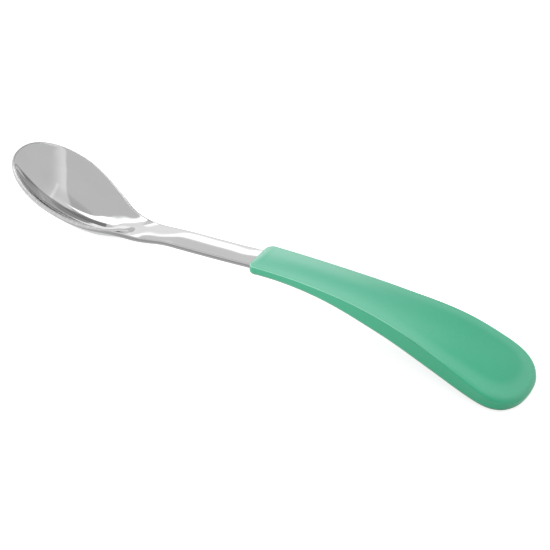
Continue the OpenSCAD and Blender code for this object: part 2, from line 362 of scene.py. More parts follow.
# %% Plan helpers
CORNER_ANGLE = math.radians(45)


def oval(pole_x, reach, half, fullness, angle):
    """A point on an oval end and its outward direction.

    Angle 0 is the end's middle, and the reach is negative where the end points to the bowl's tip.
    """
    along = abs(math.cos(angle)) ** (2 / fullness)
    across = abs(math.sin(angle)) ** (2 / fullness)
    out = Vector((along ** (fullness - 1) / reach, across ** (fullness - 1) / half))
    return Vector((pole_x + reach * along, half * across)), out.normalized()


def side(half, x):
    """A point on a long side and its outward direction."""
    step = 0.05 * MM
    slope = (half(x + step) - half(x - step)) / (2 * step)
    return Vector((x, half(x))), Vector((-slope, 1)).normalized()


def fill(border, row, last_row, column, columns):
    """A place inside an end, where border(row, column) gives the end's outer edge.

    Row 0 runs round the tip and last_row runs straight across.
    """
    u, v = row / last_row, column / columns
    tip, corner = border(0, 0), border(0, columns)
    side_end = border(last_row, columns)
    middle_end = Vector((side_end.x, 0))
    across = border(0, column) * (1 - u) + Vector((side_end.x, side_end.y * v)) * u
    along = (tip * (1 - u) + middle_end * u) * (1 - v) + border(row, columns) * v
    corners = ((tip * (1 - v) + corner * v) * (1 - u)
               + (middle_end * (1 - v) + side_end * v) * u)
    return across + along - corners


# %% [markdown]
# ## The steel
#
# On the real spoon the bowl, the stem and the tang inside the grip are one strip of sheet steel,
# cut to its outline and pressed. Its edge is ground round. A sphere could be squashed into a bowl,
# but the stem would have to be joined on, and a mirror finish shows such a joint. One sheet from
# tip to tang has none.

# %% The rows of the steel's sheet and its outline
TIP_ROWS, BOWL_ROWS, NECK_ROWS, STEM_ROWS, TANG_ROWS, STEEL_COLUMNS = 6, 11, 4, 4, 6, 5
NECK_END_X = WIDEST_X + TAPER_SHARES[-1][0] * (BOWL_LENGTH - WIDEST_X)
steel_rows = [*[0.0] * TIP_ROWS,
              *np.linspace(WIDEST_X, BOWL_LENGTH, BOWL_ROWS, endpoint=False),
              *np.linspace(BOWL_LENGTH, NECK_END_X, NECK_ROWS, endpoint=False),
              *np.linspace(NECK_END_X, FRONT_X, STEM_ROWS, endpoint=False),
              *np.linspace(FRONT_X, TANG_X, TANG_ROWS + 1)]
LAST_STEEL_ROW = len(steel_rows) - 1


def steel_outline(row, column):
    """The point and outward direction of the outline at a vertex of the sheet's edge."""
    if row < TIP_ROWS:
        angle = (CORNER_ANGLE * column / STEEL_COLUMNS if row == 0
                 else mix(CORNER_ANGLE, math.pi / 2, row / TIP_ROWS))
        return oval(WIDEST_X, -WIDEST_X, BOWL_WIDTH / 2, BOWL_FULLNESS, angle)
    if row < LAST_STEEL_ROW:
        return side(steel_half, steel_rows[row])
    end = Vector((TANG_X, steel_half(TANG_X) * column / STEEL_COLUMNS))
    return end, Vector((1, 1 if column == STEEL_COLUMNS else 0))


print("Steel sheet:", LAST_STEEL_ROW + 1, "rows")

# %% [markdown]
# The edge of a pressed sheet is sharp, so it is ground round and polished. At the bowl the
# rounding goes on over the top, towards the inside, as a narrow lip that is nearly flat. At the
# stem it stops at the top. A bevel would round the edge alike everywhere, so it is extruded in
# rings, whose angles change along the spoon.

# %% The steel's rounded edge
STRAIGHT_DOWN = -math.pi / 2


def rim_turn(x):
    """How far the rounding of the edge goes on over the top, towards the middle."""
    return math.radians(mix(*RIM_TURNS, ramp(*RIM_CHANGE, bowl_share(x))))


def rim_drop(angle):
    """How far the rounded edge lies below its top. Past the top it is ground nearly flat."""
    return RIM_RADIUS * (1 - math.sin(angle)) * (LAND_SLOPE if angle > math.pi / 2 else 1)


def rim_point(row, column, angle):
    """A point on the rounded edge: angle 0 is the outermost, 90 degrees the top."""
    outline, out = steel_outline(row, column)
    point = outline - out * RIM_RADIUS * (1 - math.cos(angle))
    return point, lift + steel_edge_height(max(outline.x, point.x)) - rim_drop(angle)


def rim_ring(share, low_angle=0.0):
    """A ring of the rounded edge, at a share of its turn from low_angle to the lip."""
    def place(row, column):
        turn = rim_turn(steel_outline(row, column)[0].x)
        return in_frame(*rim_point(row, column, mix(low_angle, turn, share)))
    return place


# %% [markdown]
# The bowl's hollow is pressed by a punch. Its section is a smooth curve that meets the lip, and
# past the neck it is a strip with a slight crown. The underside is the same curve, a sheet lower.
# Each vertex gets its height from how far it lies between the middle and the edge.

# %% The steel's top and underside
AT_POLE = 1e-9


def steel_plan(row, column, angle_at):
    """The place of any vertex in plan, where angle_at(x) sets the sheet's border on the rim."""
    def border(r, c):
        return rim_point(r, c, angle_at(steel_outline(r, c)[0].x))[0]
    if row < TIP_ROWS:
        return fill(border, row, TIP_ROWS, column, STEEL_COLUMNS)
    if row == LAST_STEEL_ROW:
        return border(row, column)
    edge = border(row, STEEL_COLUMNS)
    return Vector((edge.x, edge.y * column / STEEL_COLUMNS))


def steel_section(point):
    """What a place's section is: its distance from the middle, the outline's reach that way, the
    x of the middle and of the outline there, and the slope of the middle that way.
    """
    if point.x >= WIDEST_X:
        return abs(point.y), steel_half(point.x), point.x, point.x, 0.0
    way = point - Vector((WIDEST_X, 0))
    distance = way.length
    if distance < AT_POLE:
        return 0.0, BOWL_WIDTH / 2, WIDEST_X, WIDEST_X, 0.0
    way = way / distance
    reach = ((abs(way.x) / WIDEST_X) ** BOWL_FULLNESS
             + (abs(way.y) / (BOWL_WIDTH / 2)) ** BOWL_FULLNESS) ** (-1 / BOWL_FULLNESS)
    lean = (steel_middle(WIDEST_X + RIM_RADIUS) - steel_middle(WIDEST_X)) / RIM_RADIUS
    return distance, reach, WIDEST_X, WIDEST_X + way.x * reach, lean * way.x


def steel_top(row, column):
    point = steel_plan(row, column, rim_turn)
    distance, reach, middle_x, edge_x, drop = steel_section(point)
    turn = rim_turn(edge_x)
    lip = reach - RIM_RADIUS * (1 - math.cos(turn))
    if row in (0, LAST_STEEL_ROW) or column == STEEL_COLUMNS:
        height = rim_point(row, column, rim_turn(steel_outline(row, column)[0].x))[1]
    else:
        lip_x = mix(middle_x, edge_x, lip / reach)
        lip_height = lift + steel_edge_height(lip_x) - rim_drop(turn)
        middle = lift + steel_middle(middle_x)
        fullness = mix(BOWL_FULLNESS, NECK_FULLNESS, ramp(*HOLLOW_CHANGE, bowl_share(edge_x)))
        height = (middle + drop * distance
                  + (lip_height - middle - drop * lip) * min(1, distance / lip) ** fullness)
    return in_frame(point, height)


def steel_below(row, column):
    point = steel_plan(row, column, lambda x: STRAIGHT_DOWN)
    distance, reach, middle_x, edge_x, drop = steel_section(point)
    foot = reach - RIM_RADIUS
    foot_x = mix(middle_x, edge_x, foot / reach)
    foot_height = lift + steel_edge_height(foot_x) - 2 * RIM_RADIUS
    if row in (0, LAST_STEEL_ROW) or column == STEEL_COLUMNS:
        height = rim_point(row, column, STRAIGHT_DOWN)[1]
    else:
        middle = lift + steel_middle(middle_x) - steel_wall(middle_x)
        fullness = mix(BOWL_FULLNESS, STEM_FULLNESS, ramp(*UNDER_CHANGE, bowl_share(edge_x)))
        height = (middle + drop * distance
                  + (foot_height - middle - drop * foot) * min(1, distance / foot) ** fullness)
    return in_frame(point, height)


# %% Model the steel
steel = shell(
    "spoon_steel", LAST_STEEL_ROW, STEEL_COLUMNS, steel_top,
    [rim_ring(3 / 4), rim_ring(1 / 2), rim_ring(1 / 4), rim_ring(0),
     rim_ring(0, STRAIGHT_DOWN / 2), rim_ring(0, STRAIGHT_DOWN)],
    steel_below, (-LENGTH / 2, TANG_X - LENGTH / 2, STEM_WIDTH / 2, lift))

# %% [markdown]
# On the real spoon the top of the bowl's rim is buffed, and the sheet's cut side is only ground,
# so the two have other finishes than the faces. Their masks also carry painted light: the rim is
# painted paler as painted reflection, and the cut side darker as painted shade. Each could be a
# material of its own, but then its end would be a hard line. They are painted on the vertices as
# masks, by ring, before the steel is smoothed, so that the masks are smoothed with it.

# %% Paint the rim and the cut edge on the cage, and smooth the steel
def paint(piece, name, mask):
    """Paints a mask on the cage: mask(row, column, ring, place) gives each vertex its value."""
    piece.data.attributes.new(name, "FLOAT", "POINT")
    values = piece.data.attributes[name].data
    marks = (piece.data.attributes[layer].data for layer in LAYERS)
    for vertex, value, row, column, ring in zip(piece.data.vertices, values, *marks):
        value.value = mask(row.value, column.value, ring.value, vertex.co)


def lip_and_reflection_mask(row, column, ring, place):
    """The top of the bowl's rim, buffed and painted paler as painted reflection. On its near side
    the mask reaches a little further in, as painted reflection only.
    """
    bowl = 1 - ramp(*LIP_FADE, bowl_share(place.x + LENGTH / 2))
    # Painted reflection: on the near side the rim's mask reaches over the sheet's border
    near_reflection = 1 if column == STEEL_COLUMNS and place.y < 0 else 0
    return bowl * {0: near_reflection, 1: 1, 2: 1, 3: 1, 4: 0.6}.get(ring, 0)


def cut_and_shade_mask(row, column, ring, place):
    """The cut side of the sheet, ground and also painted darker as painted shade: the rim's lower
    half at the bowl, all of the stem's edge.
    """
    stem = ramp(*CUT_CHANGE, bowl_share(place.x + LENGTH / 2))
    border = 0.6 * stem if column == STEEL_COLUMNS else 0
    return {0: border, 1: 0.9 * stem, 2: 0.9 * stem, 3: stem, 4: mix(0.5, 1, stem), 5: 1,
            6: 0.7}.get(ring, 0)


paint(steel, "lip", lip_and_reflection_mask)
paint(steel, "cut", cut_and_shade_mask)
smooth_through(steel, levels=3)

# %% [markdown]
# ## The grip
#
# The grip is soft silicone, moulded over the tang. Its top face is broad and gently crowned, its
# top edge is crisp at the front and soft at the tail, and its side wall leans inwards. A curve
# with a round profile would be quicker, but it can't have a flat top and two different edges. So
# the grip is the same kind of shell as the steel, with rings for both edges of its side.

# %% The rows of the grip's sheet and its outline
FRONT_ROWS, GRIP_ROWS, TAIL_ROWS, GRIP_COLUMNS = 3, 18, 4, 4
BODY_X = FRONT_X + 2 * FRONT_CORNER
LAST_GRIP_ROW = FRONT_ROWS + GRIP_ROWS + TAIL_ROWS
TAIL_ROW = LAST_GRIP_ROW - TAIL_ROWS
grip_rows = [*[0.0] * FRONT_ROWS, *np.linspace(BODY_X, TAIL_POLE_X, GRIP_ROWS + 1)]


def front_outline(travel):
    """The front's outline, by the distance travelled round it from the middle of its end."""
    flat = FRONT_WIDTH / 2 - FRONT_CORNER
    arc = FRONT_CORNER * math.pi / 2
    if travel < flat:
        return Vector((FRONT_X, travel)), Vector((-1, 0))
    if travel < flat + arc:
        angle = (travel - flat) / FRONT_CORNER
        out = Vector((-math.cos(angle), math.sin(angle)))
        return Vector((FRONT_POLE_X, flat)) + out * FRONT_CORNER, out
    return side(grip_half, FRONT_POLE_X + travel - flat - arc)


def grip_outline(row, column):
    if row < FRONT_ROWS:
        corner = FRONT_WIDTH / 2 - FRONT_CORNER * (1 - math.pi / 4)
        end = corner + FRONT_CORNER * math.pi / 4 + BODY_X - FRONT_POLE_X
        return front_outline(corner * column / GRIP_COLUMNS if row == 0
                             else mix(corner, end, row / FRONT_ROWS))
    if row <= TAIL_ROW:
        return side(grip_half, grip_rows[row])
    angle = (CORNER_ANGLE * column / GRIP_COLUMNS if row == LAST_GRIP_ROW
             else mix(CORNER_ANGLE, math.pi / 2, (LAST_GRIP_ROW - row) / TAIL_ROWS))
    return oval(TAIL_POLE_X, TAIL_ROUND, grip_half(TAIL_POLE_X), TAIL_FULLNESS, angle)


print("Grip sheet:", LAST_GRIP_ROW + 1, "rows")

# %% [markdown]
# The mould gives the grip a rounded top edge and a fuller bottom edge, with the side wall between
# them. Both radii grow towards the tail. The rings follow the two arcs, and the wall is what lies
# between the last ring of the one and the first of the other.

# %% The grip's side
# At most these shares of the side's free height go to the bottom edge and to the wall's lean
MOST_BOTTOM, MOST_TUCK = 0.95, 0.3


def grip_edge(x):
    """Radius of the top edge, radius of the bottom edge and lean of the side wall."""
    share = grip_share(x)
    height = top_edge(x) - underside(x)
    top = mix(*TOP_RADII, ramp(*TOP_EDGE_CHANGE, share))
    tail_blend = ramp(*BOTTOM_EDGE_CHANGE, share)
    bottom = min(mix(*BOTTOM_RADII, tail_blend), MOST_BOTTOM * (height - top))
    return top, bottom, min(WALL_TUCK * tail_blend, MOST_TUCK * (height - top - bottom))


def grip_ring(top_angle=None, bottom_angle=None):
    """A ring of the side: by its angle on the top edge's arc or on the bottom edge's arc."""
    def place(row, column):
        point, out = grip_outline(row, column)
        top, bottom, tuck = grip_edge(point.x)
        if top_angle is not None:
            point = point - out * top * (1 - math.cos(top_angle))
            height = top_edge(point.x) - top * (1 - math.sin(top_angle))
        else:
            point = point - out * (tuck + bottom * (1 - math.cos(bottom_angle)))
            height = underside(point.x) + bottom * (1 - math.sin(bottom_angle))
        return in_frame(point, height)
    return place


# %% [markdown]
# A thumb rests on the top face, so it is crowned. Its height over the edge falls off as the square
# of the distance from the middle, which is the simplest curve that has no crease. The underside
# has a small belly in front, under the tang, and is flat further back.

# %% The grip's top and underside
def grip_plan(row, column, ring):
    """The place of any vertex of the sheet in plan, with ring as its border."""
    def border(r, c):
        place = ring(r, c)
        return Vector((place.x + LENGTH / 2, place.y))
    if row < FRONT_ROWS:
        return fill(border, row, FRONT_ROWS, column, GRIP_COLUMNS)
    if row > TAIL_ROW:
        return fill(lambda r, c: border(LAST_GRIP_ROW - r, c), LAST_GRIP_ROW - row, TAIL_ROWS,
                    column, GRIP_COLUMNS)
    edge = border(row, GRIP_COLUMNS)
    return Vector((edge.x, edge.y * column / GRIP_COLUMNS))


def edge_share(point, inset):
    """How far a place lies from the middle line, where 1 is the border."""
    half = grip_half(min(point.x, TAIL_POLE_X)) - inset
    across = abs(point.y) / half
    if point.x < FRONT_POLE_X:
        along, fullness = (FRONT_POLE_X - point.x) / (FRONT_CORNER - inset), FRONT_FULLNESS
    elif point.x > TAIL_POLE_X:
        along, fullness = (point.x - TAIL_POLE_X) / (TAIL_ROUND - inset), TAIL_FULLNESS
    else:
        return min(1, across)
    return min(1, (across ** fullness + along ** fullness) ** (1 / fullness))


top_border = grip_ring(top_angle=math.pi / 2)
bottom_border = grip_ring(bottom_angle=math.pi / 2)


def on_border(row, column):
    return row in (0, LAST_GRIP_ROW) or column == GRIP_COLUMNS


def grip_top(row, column):
    if on_border(row, column):
        return top_border(row, column)
    point = grip_plan(row, column, top_border)
    crown = TOP_CROWN * mix(FRONT_CROWN_SHARE, 1, grip_share(point.x))
    share = edge_share(point, grip_edge(point.x)[0])
    return in_frame(point, top_edge(point.x) + crown * (1 - share * share))


def grip_below(row, column):
    if on_border(row, column):
        return bottom_border(row, column)
    point = grip_plan(row, column, bottom_border)
    belly = FRONT_BELLY * (1 - ramp(*BELLY_FADE, grip_share(point.x)))
    _, bottom, tuck = grip_edge(point.x)
    share = edge_share(point, bottom + tuck)
    return in_frame(point, underside(point.x) - belly * (1 - share * share))


# %% Model the grip
ARC_STEP = math.pi / 6
grip = shell(
    "spoon_grip", LAST_GRIP_ROW, GRIP_COLUMNS, grip_top,
    [*(grip_ring(top_angle=steps * ARC_STEP) for steps in (2, 1, 0)),
     *(grip_ring(bottom_angle=steps * ARC_STEP) for steps in (0, 1, 2)), bottom_border],
    grip_below, (FRONT_X - LENGTH / 2, LENGTH / 2, FRONT_WIDTH / 2, front_top))

# %% [markdown]
# The grip's top edge gets pale lines and a band as painted highlights. Lines drawn by height would
# drift off the edge, because it arches. So every vertex is painted with how far down the side it
# is, and each line and band of the finish is drawn by that one measure.

# %% Paint the way down the side on the cage, and smooth the grip
# The underside comes after the side's seven rings
UNDERSIDE = 8


def way_down(row, column, ring, place):
    """How far down the side a place is: 0 on the border of the top face, then the ring's number.

    On the top face it is minus the distance to that border, in mm.
    """
    if ring != 0:
        return ring if ring > 0 else UNDERSIDE
    if on_border(row, column):
        return 0
    x = place.x + LENGTH / 2
    inset = grip_edge(x)[0]
    half = grip_half(min(x, TAIL_POLE_X)) - inset
    return (edge_share(Vector((x, place.y)), inset) - 1) * half / MM


paint(grip, "down", way_down)
smooth_through(grip, levels=3)

# %% [markdown]
# The underside of the tail is cut flat where it rests on the table. Bisect does it in one cut, and
# fills the cut with a flat face.

# %% Cut the land under the tail
bpy.ops.object.mode_set(mode="EDIT")
bpy.ops.mesh.select_all(action="SELECT")
bpy.ops.mesh.bisect(plane_co=(0, 0, 0), plane_no=(0, 0, -1), use_fill=True, clear_outer=True,
                    threshold=WELD / 10)
bpy.ops.object.mode_set(mode="OBJECT")
land = [v.co.x for v in grip.data.vertices if abs(v.co.z) < WELD]
print(f"Land under the tail: {(max(land) - min(land)) / MM:.1f} mm long")

# %% [markdown]
# Nothing on the spoon moves, so both pieces ride on its one body. Each stands in for its solid in
# the CAD model, and its volume shows that it is whole and closed.

# %% Hand both pieces to the frame
for piece, node, material_slot in ((steel, "steel_blank", "polished_steel"),
                                   (grip, "silicone_grip", "soft_silicone")):
    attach(piece, "root")
    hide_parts(node)
    mesh = bmesh.new()
    mesh.from_mesh(piece.data)
    print(piece.name, "volume", round(mesh.calc_volume() / MM ** 3), "mm3, open edges:",
          sum(not e.is_manifold for e in mesh.edges))
    mesh.free()

# %% [markdown]
# ## Finishes as formulas
#
# A finish is a network of nodes. Laid out by hand, a formula such as `0.05 + 0.04 * marks` takes
# three nodes and four wires. Here a small class stands for one socket, so that the formula can be
# written as it is read, and Python lays the nodes.

# %% A socket that can be used in a formula
class Wire:
    """One socket of a node tree. Formulas on wires add Math nodes."""

    def __init__(self, socket):
        self.socket = socket

    @staticmethod
    def node(tree, kind, settings=None, inputs=None, output=0):
        """Adds a node: its settings come first, then the values or wires of its sockets."""
        made = tree.nodes.new(kind)
        for name, value in (settings or {}).items():
            setattr(made, name, value)
        for name, value in (inputs or {}).items():
            if isinstance(value, Wire):
                tree.links.new(value.socket, made.inputs[name])
            else:
                made.inputs[name].default_value = value
        return Wire(made.outputs[output])

    def math(self, operation, *others):
        return Wire.node(self.socket.id_data, "ShaderNodeMath", {"operation": operation},
                         dict(enumerate((self, *others))))

    def __add__(self, other): return self.math("ADD", other)

    def __sub__(self, other): return self.math("SUBTRACT", other)

    def __mul__(self, other): return self.math("MULTIPLY", other)

    def __rsub__(self, other): return (self * -1.0).math("ADD", other)

    def __abs__(self): return self.math("ABSOLUTE")

    __radd__, __rmul__ = __add__, __mul__

    def smooth(self, low, high):
        """Rises smoothly from 0 where the value is low to 1 where it is high."""
        return Wire.node(self.socket.id_data, "ShaderNodeMapRange",
                         {"interpolation_type": "SMOOTHSTEP"},
                         {"Value": self, "From Min": low, "From Max": high})


def noise(tree, scale, detail=2.0, stretch=(1, 1, 1), turn=(0, 0, 0)):
    """Soft random marks on the piece, 0 to 1. Scale is marks a metre, stretch their shape."""
    place = Wire.node(tree, "ShaderNodeTexCoord", output="Object")
    place = Wire.node(tree, "ShaderNodeMapping", {}, {"Vector": place, "Scale": stretch,
                                                     "Rotation": turn})
    return Wire.node(tree, "ShaderNodeTexNoise", {},
                     {"Vector": place, "Scale": scale, "Detail": detail})


def blend(tree, share, first, second):
    """A colour between two colours."""
    return Wire.node(tree, "ShaderNodeMix", {"data_type": "RGBA"},
                     {0: share, 6: first, 7: second}, output=2)


def finish_for(piece):
    """A new material on the piece: its node tree and its main shader."""
    material = bpy.data.materials.new(piece.name + "_finish")
    material.use_nodes = True
    piece.data.materials.append(material)
    return material.node_tree, material.node_tree.nodes["Principled BSDF"]


def painted(tree, name):
    """A value that was painted on the piece's vertices."""
    return Wire.node(tree, "ShaderNodeAttribute", {"attribute_name": name}, output="Fac")


def lengthwise(tree):
    """The place along the spoon, in metres from its middle."""
    place = Wire.node(tree, "ShaderNodeTexCoord", output="Object")
    return Wire.node(tree, "ShaderNodeSeparateXYZ", {}, {0: place})


def connect(wire, shader, name):
    wire.socket.id_data.links.new(wire.socket, shader.inputs[name])


def add_bumps(height, shader, strength, depth):
    """Fine bumps: where the height is 1 they stand out by the depth."""
    bump = Wire.node(height.socket.id_data, "ShaderNodeBump", {},
                     {"Strength": strength, "Distance": depth, "Height": height})
    connect(bump, shader, "Normal")


# %% [markdown]
# ## Polished steel
#
# Stainless steel sends back a little more than half of the light. Its faces are polished along the
# spoon, which leaves fine lengthwise marks and a slight waviness, and handling leaves a thin haze
# in places. The top of the bowl's rim is buffed across: it is satin, with short marks, and painted
# paler as painted reflection, a little wider on the near side. The cut side of the sheet is ground
# and duller, and painted darkest as painted shade, as is the rim right at the tip.
# A mirror with one roughness all over would look like chrome plate, so these marks are drawn in
# both the colour and the roughness, at the size that they have on the real spoon.

# %% The steel's finish
# Noise scales, in marks a metre
POLISH_SCALE, GRIND_SCALE, WAVE_SCALE, HAZE_SCALE = 1200, 2200, 90, 150
# Where the painted shade on the rim sets in towards the tip, in metres from the spoon's middle
TIP_FADE = -0.0695, -0.0725
STEEL, DULL_STEEL = (0.53, 0.53, 0.535, 1), (0.5, 0.5, 0.505, 1)
# The rim's paler colour is partly painted reflection, and the cut side's darker colour is partly
# painted shade
BUFFED_AND_REFLECTION, CUT_AND_SHADE = (0.66, 0.66, 0.665, 1), (0.32, 0.32, 0.325, 1)
tree, steel_shader = finish_for(steel)
on_lip, on_cut = (painted(tree, name).smooth(0.3, 0.7) for name in ("lip", "cut"))
tip = lengthwise(tree).smooth(*TIP_FADE)
polish = noise(tree, POLISH_SCALE, 3.0, stretch=(0.04, 1, 1))
grind = noise(tree, GRIND_SCALE, 1.0, stretch=(1, 0.1, 0.1), turn=(0, 0, 0.5)).smooth(0.35, 0.65)
wave = noise(tree, WAVE_SCALE, 1.0)
haze = noise(tree, HAZE_SCALE, 3.0, stretch=(0.35, 1, 1)).smooth(0.3, 0.7)
colour = blend(tree, 0.6 * haze + 0.4 * polish, STEEL, DULL_STEEL)
# Painted reflection: the buffed rim is painted paler, a little wider on the near side
colour = blend(tree, on_lip * (0.45 + 0.55 * grind), colour, BUFFED_AND_REFLECTION)
# Painted shade: the cut side, and the rim right at the tip, are darkened
dark = (on_cut + on_lip * tip).math("MINIMUM", 1.0)
connect(blend(tree, dark, colour, CUT_AND_SHADE), steel_shader, "Base Color")
steel_shader.inputs["Metallic"].default_value = 1.0
connect(0.045 + 0.03 * polish + 0.02 * haze + 0.25 * on_lip + 0.1 * on_cut, steel_shader,
        "Roughness")
add_bumps(wave * 0.6 + polish * 0.02 + on_lip * grind * 0.06, steel_shader, strength=0.3,
          depth=0.01 * MM)
print("Steel finish:", len(tree.nodes), "nodes")

# %% [markdown]
# ## Soft silicone
#
# Silicone is coloured all through, with a random cloudy tone. Its colour also carries painted
# light:
# it is paler in front and deeper towards the tail as painted light and shade, and deeper down the
# sides and underneath as painted shade. Its skin is satin: the mould's fine blasted grain breaks
# up the reflections into a soft sheen, which is stronger in front, and handling leaves some places
# a little smoother than others.
#
# Three painted highlights follow the side. A pale line along the top edge is clear in front and
# fades out before the tail. A thin line lies on the border of the top face over the middle of the
# grip. A soft band beside it, which grows towards the tail, is a painted sheen on the rounding
# edge.
# All three are drawn by the painted way down the side.

# %% The silicone's finish
# Noise scales, in marks a metre
CLOUD_SCALE, SPECK_SCALE, GRAIN_SCALE = 60, 1400, 4500
# Where changes along the grip start and end, in metres from the spoon's middle
TOWARD_TAIL_CHANGE, SIDE_CHANGE, FAR_CHANGE = (0.002, 0.068), (0.016, 0.052), (0.036, 0.056)
LINE_START, LINE_END = (0.006, 0.02), (0.059, 0.052)
# Painted light: the front top colour is the lit one, and the deep one, towards the tail, is
# painted shade
LIT_MINT, DEEP_SHADED_MINT = (0.075, 0.41, 0.268, 1), (0.046, 0.38, 0.212, 1)
# Painted shade on the sides, a little less in front
FRONT_SIDE_SHADE_MINT, SIDE_SHADE_MINT = (0.049, 0.435, 0.246, 1), (0.035, 0.385, 0.205, 1)
# Painted shade underneath, and a pale colour for the painted highlights
UNDER_SHADE_MINT, HIGHLIGHT_MINT = (0.012, 0.18, 0.09, 1), (0.32, 0.69, 0.53, 1)
tree, silicone = finish_for(grip)
cloud, grain = noise(tree, CLOUD_SCALE), noise(tree, GRAIN_SCALE)
speck = noise(tree, SPECK_SCALE).smooth(0.3, 0.7)
down, along = painted(tree, "down"), lengthwise(tree)
toward_tail, back, far = (along.smooth(*change) for change in (TOWARD_TAIL_CHANGE, SIDE_CHANGE, FAR_CHANGE))
up, under_shade = down.smooth(3.0, 1.0), down.smooth(4.4, 5.8)

# Painted light and shade: paler in front, deeper towards the tail, with random cloudy tone
colour = blend(tree, 0.75 * toward_tail + 0.1 * cloud + 0.15 * speck, LIT_MINT, DEEP_SHADED_MINT)
# Painted shade: the sides are deeper than the top, more so towards the tail
colour = blend(tree, up, blend(tree, back, FRONT_SIDE_SHADE_MINT, SIDE_SHADE_MINT), colour)
# Painted shade underneath
colour = blend(tree, under_shade, colour, UNDER_SHADE_MINT)

# Painted highlights: a pale line along the top edge, a thin line on the top face's border over the
# middle, and a soft sheen band that grows towards the tail
edge_highlight = abs(down - 1.4).smooth(1.1, 0.3) * (1 - far)
border_highlight = (down.smooth(0.8 * far - 0.25, 0.95 * far) * down.smooth(1.6 - 0.1 * far, 0.8 + 0.3 * far)
        * along.smooth(*LINE_START) * along.smooth(*LINE_END))
sheen_band = down.smooth(-3.6, -0.8) * down.smooth(2.9, 1.2) * back
highlights = (0.9 * edge_highlight + 0.3 * border_highlight + 0.15 * sheen_band).math("MINIMUM", 1.0)
connect(blend(tree, highlights, colour, HIGHLIGHT_MINT), silicone, "Base Color")
connect(0.28 + 0.08 * cloud + 0.05 * grain, silicone, "Roughness")
silicone.inputs["Specular IOR Level"].default_value = 0.25
connect((0.65 + 0.35 * up) * (1 - 0.85 * toward_tail), silicone, "Coat Weight")
silicone.inputs["Coat Roughness"].default_value = 0.3
add_bumps(grain, silicone, strength=0.25, depth=0.02 * MM)
print("Silicone finish:", len(tree.nodes), "nodes")

# %% [markdown]
# ## The studio
#
# A mirror shows the room, so polished steel is photographed inside a white tent. The tent here is
# the world, a pale dome with cloths and lights on it. They could be real sheets round the spoon,
# but seen from another side those would stand in the picture. On the world each is only a mask.
# It has straight edges, and a straight edge is a plane through the spoon, given by two directions
# along it.

# %% Masks on the dome
def toward(azimuth, elevation):
    """A direction: azimuth in degrees from the front (-Y) to the right (+X), then elevation."""
    a, e = math.radians(azimuth), math.radians(elevation)
    return Vector((math.sin(a) * math.cos(e), -math.cos(a) * math.cos(e), math.sin(e)))


def offset_from(first, second):
    """How far a direction lies above the plane through two directions."""
    normal = toward(*first).cross(toward(*second)).normalized()
    normal *= math.copysign(1, normal.z)
    return dome_x * normal.x + dome_y * normal.y + dome_z * normal.z


def above(first, second, softness=0.02):
    """Mask of the part of the dome above the straight edge through two directions."""
    return offset_from(first, second).smooth(-softness, softness)


def patch(azimuth, elevation, inner, outer):
    """A soft round mask about a direction, full within inner degrees, gone beyond outer."""
    way = toward(azimuth, elevation)
    along = dome_x * way.x + dome_y * way.y + dome_z * way.z
    return along.smooth(math.cos(math.radians(outer)), math.cos(math.radians(inner)))


def lay(light, value, mask):
    """The light with another value laid over it where the mask is 1."""
    return light + (value - light) * mask


world = bpy.data.worlds.new("tent")
scene.world = world
world.use_nodes = True
tree = world.node_tree
direction = Wire.node(tree, "ShaderNodeTexCoord", output="Generated")
dome_x, dome_y, dome_z = (
    Wire.node(tree, "ShaderNodeSeparateXYZ", {}, {0: direction}, output=i) for i in range(3))

# %% [markdown]
# At the far left a long strip light stands over the left cloth, which has a fold and a low white
# window. At the back a dark gap is left between the cloths, with a rail of the tent's frame in it.
# At the right is a paler cloth, with a seam. The dome itself is a little dimmer high up at the
# back and low at the right. The bright and dark shapes in the bowl and along the stem are the
# reflections of all these. The camera itself sees plain white.

# %% The cloths, the strip light and the window
DOME, STRIP, WINDOW, GAP, RAIL, RAIL_RIM = 0.92, 2.7, 2.1, 0.33, 0.2, 0.25
LEFT_CLOTH, LEFT_FOLD, LEFT_BASE, RIGHT_CLOTH, SEAM = 1.05, 1.32, 1.34, 1.27, 0.3
DIM_BACK, DIM_SIDE = 0.19, 0.38
# Straight edges, each by two directions along it: azimuth and elevation in degrees
RIGHT_CLOTH_TOP, SEAM_LINE = ((50, 50), (175, 43)), ((163, 36), (132, 54))
STRIP_BASE, STRIP_HEEL = ((-175, 45), (-98, 37)), ((-131, 45), (-103, 25))
STRIP_TOP, STRIP_SHOULDER = ((-177, 51.5), (-140, 66)), ((-98, 62.5), (-115, 67))
GAP_RIGHT, GAP_LEFT = ((167, 8), (-175, 40)), ((-141, 42), (-152, 12))
WINDOW_BASE, WINDOW_TOP = ((-138, 21.5), (-148, 16.5)), ((-136, 25), (-146, 28))

light = DOME - DIM_BACK * patch(177, 52, 4, 22) - DIM_SIDE * patch(60, -15, 20, 52)
right_edge = offset_from(*RIGHT_CLOTH_TOP)
right = right_edge.smooth(0.015, -0.015) * right_edge.smooth(-0.33, -0.05)
light = light + (RIGHT_CLOTH - DOME) * right
seam = abs(offset_from(*SEAM_LINE)).smooth(0.03, 0)
light = light + SEAM * seam * dome_x.smooth(0.5, 0.4) * dome_y.smooth(0.4, 0.5)

below_strip = (1 - above(*STRIP_BASE)) * (1 - above(*STRIP_HEEL))
left = dome_x.smooth(-0.3, -0.45) * below_strip
light = lay(light, LEFT_CLOTH, left)
left_fold = left * (dome_x * -1.0 - 1.1 * dome_y).smooth(-0.03, 0.03)
light = lay(light, LEFT_FOLD + 0.6 * dome_y.smooth(0.55, 0.2), left_fold)
above_window_base = above(*WINDOW_BASE)
light = lay(light, LEFT_BASE, left * (1 - above_window_base))

